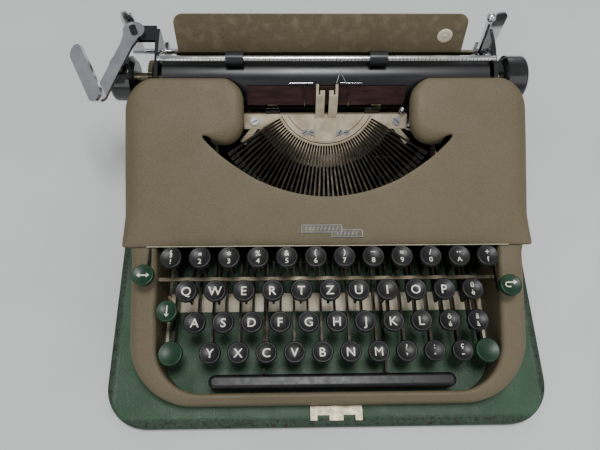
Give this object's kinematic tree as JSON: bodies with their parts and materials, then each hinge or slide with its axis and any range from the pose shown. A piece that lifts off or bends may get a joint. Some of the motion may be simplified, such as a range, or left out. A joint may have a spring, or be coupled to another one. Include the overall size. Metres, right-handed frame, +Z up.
{
  "type": "portable typewriter",
  "caption": "Portable manual typewriter on a case board, with round dished keys, an open type basket, a ribbon cover with two ears and a sliding carriage.",
  "frame": {"origin": "centre of the flat underside of the base board", "axes": "+X to the typist's right along the platen, +Y away from the typist, +Z up"},
  "size_m": [0.3304, 0.29, 0.1276],
  "materials": {
    "leatherette": "dark green grained covering",
    "crinkle_paint": "olive brown crinkle enamel",
    "frame_steel": "oiled steel",
    "cream_nickel": "satin nickel",
    "dark_steel": "blackened steel",
    "carriage_enamel": "black enamel",
    "platen_rubber": "smooth hard rubber",
    "bright_chrome": "polished",
    "key_black": "polished",
    "key_green": "polished"
  },
  "bodies": {
    "base": {"base_board": "leatherette", "lower_housing": "crinkle_paint", "machine_frame": "frame_steel"},
    "cover": {"ribbon_cover": "crinkle_paint"},
    "type_basket": {"segment": "cream_nickel", "typebars": "dark_steel"},
    "carriage": {"carriage_frame": "carriage_enamel"},
    "platen": {"platen": "platen_rubber"},
    "return_lever": {"return_lever": "bright_chrome"},
    "bail": {"paper_bail": "bright_chrome"},
    "paper_release": {"paper_release_lever": "bright_chrome"},
    "carriage_release": {"carriage_release_levers": "bright_chrome"},
    "space_bar": {"space_bar": "key_black"},
    "shift": {"shift_keys": "key_green"},
    "margin_release": {"margin_release_key": "key_green"},
    "backspace": {"backspace_key": "key_green"},
    "key_y": {"key_y": "key_black"},
    "key_x": {"key_x": "key_black"},
    "key_c": {"key_c": "key_black"},
    "key_v": {"key_v": "key_black"},
    "key_b": {"key_b": "key_black"},
    "key_n": {"key_n": "key_black"},
    "key_m": {"key_m": "key_black"},
    "key_comma": {"key_comma": "key_black"},
    "key_period": {"key_period": "key_black"},
    "key_hyphen": {"key_hyphen": "key_black"},
    "key_a": {"key_a": "key_black"},
    "key_s": {"key_s": "key_black"},
    "key_d": {"key_d": "key_black"},
    "key_f": {"key_f": "key_black"},
    "key_g": {"key_g": "key_black"},
    "key_h": {"key_h": "key_black"},
    "key_j": {"key_j": "key_black"},
    "key_k": {"key_k": "key_black"},
    "key_l": {"key_l": "key_black"},
    "key_o_umlaut": {"key_o_umlaut": "key_black"},
    "key_a_umlaut": {"key_a_umlaut": "key_black"},
    "key_q": {"key_q": "key_black"},
    "key_w": {"key_w": "key_black"},
    "key_e": {"key_e": "key_black"},
    "key_r": {"key_r": "key_black"},
    "key_t": {"key_t": "key_black"},
    "key_z": {"key_z": "key_black"},
    "key_u": {"key_u": "key_black"},
    "key_i": {"key_i": "key_black"},
    "key_o": {"key_o": "key_black"},
    "key_p": {"key_p": "key_black"},
    "key_u_umlaut": {"key_u_umlaut": "key_black"},
    "key_exclamation": {"key_exclamation": "key_black"},
    "key_2": {"key_2": "key_black"},
    "key_3": {"key_3": "key_black"},
    "key_4": {"key_4": "key_black"},
    "key_5": {"key_5": "key_black"},
    "key_6": {"key_6": "key_black"},
    "key_7": {"key_7": "key_black"},
    "key_8": {"key_8": "key_black"},
    "key_9": {"key_9": "key_black"},
    "key_0": {"key_0": "key_black"},
    "key_caret": {"key_caret": "key_black"},
    "key_plus": {"key_plus": "key_black"}
  },
  "joints": [
    {"name": "carriage_slide", "type": "slide", "parent": "base", "child": "carriage", "axis": [1, 0, 0], "range_m": [-0.1, 0.1]},
    {"name": "cover_lift", "type": "slide", "parent": "base", "child": "cover", "axis": [0, -0.1736, 0.9848], "range_m": [0, 0.09]},
    {"name": "bail_swing", "type": "hinge", "parent": "carriage", "child": "bail", "pos_m": [0, 0.103, 0.097], "axis": [-1, 0, 0], "range_deg": [0, 22]},
    {"name": "line_lever_swing", "type": "hinge", "parent": "carriage", "child": "return_lever", "pos_m": [-0.134, 0.11, 0.11], "axis": [0, 0, 1], "range_deg": [0, 32], "stiffness_Nm_per_rad": 0.3, "springref_deg": -2.86},
    {"name": "platen_turn", "type": "hinge", "parent": "carriage", "child": "platen", "pos_m": [0, 0.086, 0.09], "axis": [1, 0, 0], "continuous": true},
    {"name": "paper_release_swing", "type": "hinge", "parent": "carriage", "child": "paper_release", "pos_m": [0.112, 0.106, 0.092], "axis": [1, 0, 0], "range_deg": [0, 14], "stiffness_Nm_per_rad": 0.1, "springref_deg": -2.86},
    {"name": "carriage_release_swing", "type": "hinge", "parent": "carriage", "child": "carriage_release", "pos_m": [0, 0.121, 0.078], "axis": [-1, 0, 0], "range_deg": [0, 12], "stiffness_Nm_per_rad": 0.1, "springref_deg": -2.86},
    {"name": "shift_press", "type": "hinge", "parent": "base", "child": "shift", "pos_m": [0, 0.02, 0.0125], "axis": [1, 0, 0], "range_deg": [0, 4.6], "stiffness_Nm_per_rad": 2, "springref_deg": -2.86},
    {"name": "space_press", "type": "hinge", "parent": "base", "child": "space_bar", "pos_m": [0, -0.026, 0.0125], "axis": [1, 0, 0], "range_deg": [0, 4.2], "stiffness_Nm_per_rad": 1, "springref_deg": -5.73},
    {"name": "margin_release_press", "type": "hinge", "parent": "base", "child": "margin_release", "pos_m": [-0.121, 0.04, 0.057], "axis": [1, 0, 0], "range_deg": [0, 2.7], "stiffness_Nm_per_rad": 0.5, "springref_deg": -2.86},
    {"name": "backspace_press", "type": "hinge", "parent": "base", "child": "backspace", "pos_m": [0.11335, 0.04, 0.052], "axis": [1, 0, 0], "range_deg": [0, 2.5], "stiffness_Nm_per_rad": 0.5, "springref_deg": -2.86},
    {"name": "basket_shift", "type": "slide", "parent": "base", "child": "type_basket", "axis": [0, 0, -1], "range_m": [0, 0.006]},
    {"name": "typing_y", "type": "hinge", "parent": "base", "child": "key_y", "pos_m": [0, 0.06, 0.022], "axis": [1, 0, 0], "range_deg": [0, 4], "stiffness_Nm_per_rad": 0.5, "springref_deg": -4.58},
    {"name": "typing_x", "type": "hinge", "parent": "base", "child": "key_x", "pos_m": [0, 0.06, 0.022], "axis": [1, 0, 0], "range_deg": [0, 4], "stiffness_Nm_per_rad": 0.5, "springref_deg": -4.58},
    {"name": "typing_c", "type": "hinge", "parent": "base", "child": "key_c", "pos_m": [0, 0.06, 0.022], "axis": [1, 0, 0], "range_deg": [0, 4], "stiffness_Nm_per_rad": 0.5, "springref_deg": -4.58},
    {"name": "typing_v", "type": "hinge", "parent": "base", "child": "key_v", "pos_m": [0, 0.06, 0.022], "axis": [1, 0, 0], "range_deg": [0, 4], "stiffness_Nm_per_rad": 0.5, "springref_deg": -4.58},
    {"name": "typing_b", "type": "hinge", "parent": "base", "child": "key_b", "pos_m": [0, 0.06, 0.022], "axis": [1, 0, 0], "range_deg": [0, 4], "stiffness_Nm_per_rad": 0.5, "springref_deg": -4.58},
    {"name": "typing_n", "type": "hinge", "parent": "base", "child": "key_n", "pos_m": [0, 0.06, 0.022], "axis": [1, 0, 0], "range_deg": [0, 4], "stiffness_Nm_per_rad": 0.5, "springref_deg": -4.58},
    {"name": "typing_m", "type": "hinge", "parent": "base", "child": "key_m", "pos_m": [0, 0.06, 0.022], "axis": [1, 0, 0], "range_deg": [0, 4], "stiffness_Nm_per_rad": 0.5, "springref_deg": -4.58},
    {"name": "typing_comma", "type": "hinge", "parent": "base", "child": "key_comma", "pos_m": [0, 0.06, 0.022], "axis": [1, 0, 0], "range_deg": [0, 4], "stiffness_Nm_per_rad": 0.5, "springref_deg": -4.58},
    {"name": "typing_period", "type": "hinge", "parent": "base", "child": "key_period", "pos_m": [0, 0.06, 0.022], "axis": [1, 0, 0], "range_deg": [0, 4], "stiffness_Nm_per_rad": 0.5, "springref_deg": -4.58},
    {"name": "typing_hyphen", "type": "hinge", "parent": "base", "child": "key_hyphen", "pos_m": [0, 0.06, 0.022], "axis": [1, 0, 0], "range_deg": [0, 4], "stiffness_Nm_per_rad": 0.5, "springref_deg": -4.58},
    {"name": "typing_a", "type": "hinge", "parent": "base", "child": "key_a", "pos_m": [0, 0.06, 0.022], "axis": [1, 0, 0], "range_deg": [0, 4.5], "stiffness_Nm_per_rad": 0.5, "springref_deg": -4.58},
    {"name": "typing_s", "type": "hinge", "parent": "base", "child": "key_s", "pos_m": [0, 0.06, 0.022], "axis": [1, 0, 0], "range_deg": [0, 4.5], "stiffness_Nm_per_rad": 0.5, "springref_deg": -4.58},
    {"name": "typing_d", "type": "hinge", "parent": "base", "child": "key_d", "pos_m": [0, 0.06, 0.022], "axis": [1, 0, 0], "range_deg": [0, 4.5], "stiffness_Nm_per_rad": 0.5, "springref_deg": -4.58},
    {"name": "typing_f", "type": "hinge", "parent": "base", "child": "key_f", "pos_m": [0, 0.06, 0.022], "axis": [1, 0, 0], "range_deg": [0, 4.5], "stiffness_Nm_per_rad": 0.5, "springref_deg": -4.58},
    {"name": "typing_g", "type": "hinge", "parent": "base", "child": "key_g", "pos_m": [0, 0.06, 0.022], "axis": [1, 0, 0], "range_deg": [0, 4.5], "stiffness_Nm_per_rad": 0.5, "springref_deg": -4.58},
    {"name": "typing_h", "type": "hinge", "parent": "base", "child": "key_h", "pos_m": [0, 0.06, 0.022], "axis": [1, 0, 0], "range_deg": [0, 4.5], "stiffness_Nm_per_rad": 0.5, "springref_deg": -4.58},
    {"name": "typing_j", "type": "hinge", "parent": "base", "child": "key_j", "pos_m": [0, 0.06, 0.022], "axis": [1, 0, 0], "range_deg": [0, 4.5], "stiffness_Nm_per_rad": 0.5, "springref_deg": -4.58},
    {"name": "typing_k", "type": "hinge", "parent": "base", "child": "key_k", "pos_m": [0, 0.06, 0.022], "axis": [1, 0, 0], "range_deg": [0, 4.5], "stiffness_Nm_per_rad": 0.5, "springref_deg": -4.58},
    {"name": "typing_l", "type": "hinge", "parent": "base", "child": "key_l", "pos_m": [0, 0.06, 0.022], "axis": [1, 0, 0], "range_deg": [0, 4.5], "stiffness_Nm_per_rad": 0.5, "springref_deg": -4.58},
    {"name": "typing_o_umlaut", "type": "hinge", "parent": "base", "child": "key_o_umlaut", "pos_m": [0, 0.06, 0.022], "axis": [1, 0, 0], "range_deg": [0, 4.5], "stiffness_Nm_per_rad": 0.5, "springref_deg": -4.58},
    {"name": "typing_a_umlaut", "type": "hinge", "parent": "base", "child": "key_a_umlaut", "pos_m": [0, 0.06, 0.022], "axis": [1, 0, 0], "range_deg": [0, 4.5], "stiffness_Nm_per_rad": 0.5, "springref_deg": -4.58},
    {"name": "typing_q", "type": "hinge", "parent": "base", "child": "key_q", "pos_m": [0, 0.06, 0.022], "axis": [1, 0, 0], "range_deg": [0, 5.2], "stiffness_Nm_per_rad": 0.5, "springref_deg": -4.58},
    {"name": "typing_w", "type": "hinge", "parent": "base", "child": "key_w", "pos_m": [0, 0.06, 0.022], "axis": [1, 0, 0], "range_deg": [0, 5.2], "stiffness_Nm_per_rad": 0.5, "springref_deg": -4.58},
    {"name": "typing_e", "type": "hinge", "parent": "base", "child": "key_e", "pos_m": [0, 0.06, 0.022], "axis": [1, 0, 0], "range_deg": [0, 5.2], "stiffness_Nm_per_rad": 0.5, "springref_deg": -4.58},
    {"name": "typing_r", "type": "hinge", "parent": "base", "child": "key_r", "pos_m": [0, 0.06, 0.022], "axis": [1, 0, 0], "range_deg": [0, 5.2], "stiffness_Nm_per_rad": 0.5, "springref_deg": -4.58},
    {"name": "typing_t", "type": "hinge", "parent": "base", "child": "key_t", "pos_m": [0, 0.06, 0.022], "axis": [1, 0, 0], "range_deg": [0, 5.2], "stiffness_Nm_per_rad": 0.5, "springref_deg": -4.58},
    {"name": "typing_z", "type": "hinge", "parent": "base", "child": "key_z", "pos_m": [0, 0.06, 0.022], "axis": [1, 0, 0], "range_deg": [0, 5.2], "stiffness_Nm_per_rad": 0.5, "springref_deg": -4.58},
    {"name": "typing_u", "type": "hinge", "parent": "base", "child": "key_u", "pos_m": [0, 0.06, 0.022], "axis": [1, 0, 0], "range_deg": [0, 5.2], "stiffness_Nm_per_rad": 0.5, "springref_deg": -4.58},
    {"name": "typing_i", "type": "hinge", "parent": "base", "child": "key_i", "pos_m": [0, 0.06, 0.022], "axis": [1, 0, 0], "range_deg": [0, 5.2], "stiffness_Nm_per_rad": 0.5, "springref_deg": -4.58},
    {"name": "typing_o", "type": "hinge", "parent": "base", "child": "key_o", "pos_m": [0, 0.06, 0.022], "axis": [1, 0, 0], "range_deg": [0, 5.2], "stiffness_Nm_per_rad": 0.5, "springref_deg": -4.58},
    {"name": "typing_p", "type": "hinge", "parent": "base", "child": "key_p", "pos_m": [0, 0.06, 0.022], "axis": [1, 0, 0], "range_deg": [0, 5.2], "stiffness_Nm_per_rad": 0.5, "springref_deg": -4.58},
    {"name": "typing_u_umlaut", "type": "hinge", "parent": "base", "child": "key_u_umlaut", "pos_m": [0, 0.06, 0.022], "axis": [1, 0, 0], "range_deg": [0, 5.2], "stiffness_Nm_per_rad": 0.5, "springref_deg": -4.58},
    {"name": "typing_exclamation", "type": "hinge", "parent": "base", "child": "key_exclamation", "pos_m": [0, 0.06, 0.022], "axis": [1, 0, 0], "range_deg": [0, 6], "stiffness_Nm_per_rad": 0.5, "springref_deg": -4.58},
    {"name": "typing_2", "type": "hinge", "parent": "base", "child": "key_2", "pos_m": [0, 0.06, 0.022], "axis": [1, 0, 0], "range_deg": [0, 6], "stiffness_Nm_per_rad": 0.5, "springref_deg": -4.58},
    {"name": "typing_3", "type": "hinge", "parent": "base", "child": "key_3", "pos_m": [0, 0.06, 0.022], "axis": [1, 0, 0], "range_deg": [0, 6], "stiffness_Nm_per_rad": 0.5, "springref_deg": -4.58},
    {"name": "typing_4", "type": "hinge", "parent": "base", "child": "key_4", "pos_m": [0, 0.06, 0.022], "axis": [1, 0, 0], "range_deg": [0, 6], "stiffness_Nm_per_rad": 0.5, "springref_deg": -4.58},
    {"name": "typing_5", "type": "hinge", "parent": "base", "child": "key_5", "pos_m": [0, 0.06, 0.022], "axis": [1, 0, 0], "range_deg": [0, 6], "stiffness_Nm_per_rad": 0.5, "springref_deg": -4.58},
    {"name": "typing_6", "type": "hinge", "parent": "base", "child": "key_6", "pos_m": [0, 0.06, 0.022], "axis": [1, 0, 0], "range_deg": [0, 6], "stiffness_Nm_per_rad": 0.5, "springref_deg": -4.58},
    {"name": "typing_7", "type": "hinge", "parent": "base", "child": "key_7", "pos_m": [0, 0.06, 0.022], "axis": [1, 0, 0], "range_deg": [0, 6], "stiffness_Nm_per_rad": 0.5, "springref_deg": -4.58},
    {"name": "typing_8", "type": "hinge", "parent": "base", "child": "key_8", "pos_m": [0, 0.06, 0.022], "axis": [1, 0, 0], "range_deg": [0, 6], "stiffness_Nm_per_rad": 0.5, "springref_deg": -4.58},
    {"name": "typing_9", "type": "hinge", "parent": "base", "child": "key_9", "pos_m": [0, 0.06, 0.022], "axis": [1, 0, 0], "range_deg": [0, 6], "stiffness_Nm_per_rad": 0.5, "springref_deg": -4.58},
    {"name": "typing_0", "type": "hinge", "parent": "base", "child": "key_0", "pos_m": [0, 0.06, 0.022], "axis": [1, 0, 0], "range_deg": [0, 6], "stiffness_Nm_per_rad": 0.5, "springref_deg": -4.58},
    {"name": "typing_caret", "type": "hinge", "parent": "base", "child": "key_caret", "pos_m": [0, 0.06, 0.022], "axis": [1, 0, 0], "range_deg": [0, 6], "stiffness_Nm_per_rad": 0.5, "springref_deg": -4.58},
    {"name": "typing_plus", "type": "hinge", "parent": "base", "child": "key_plus", "pos_m": [0, 0.06, 0.022], "axis": [1, 0, 0], "range_deg": [0, 6], "stiffness_Nm_per_rad": 0.5, "springref_deg": -4.58}
  ],
  "couplings": [
    {"joint": "basket_shift", "follows": "shift_press", "m_per_rad": 0.074734}
  ]
}
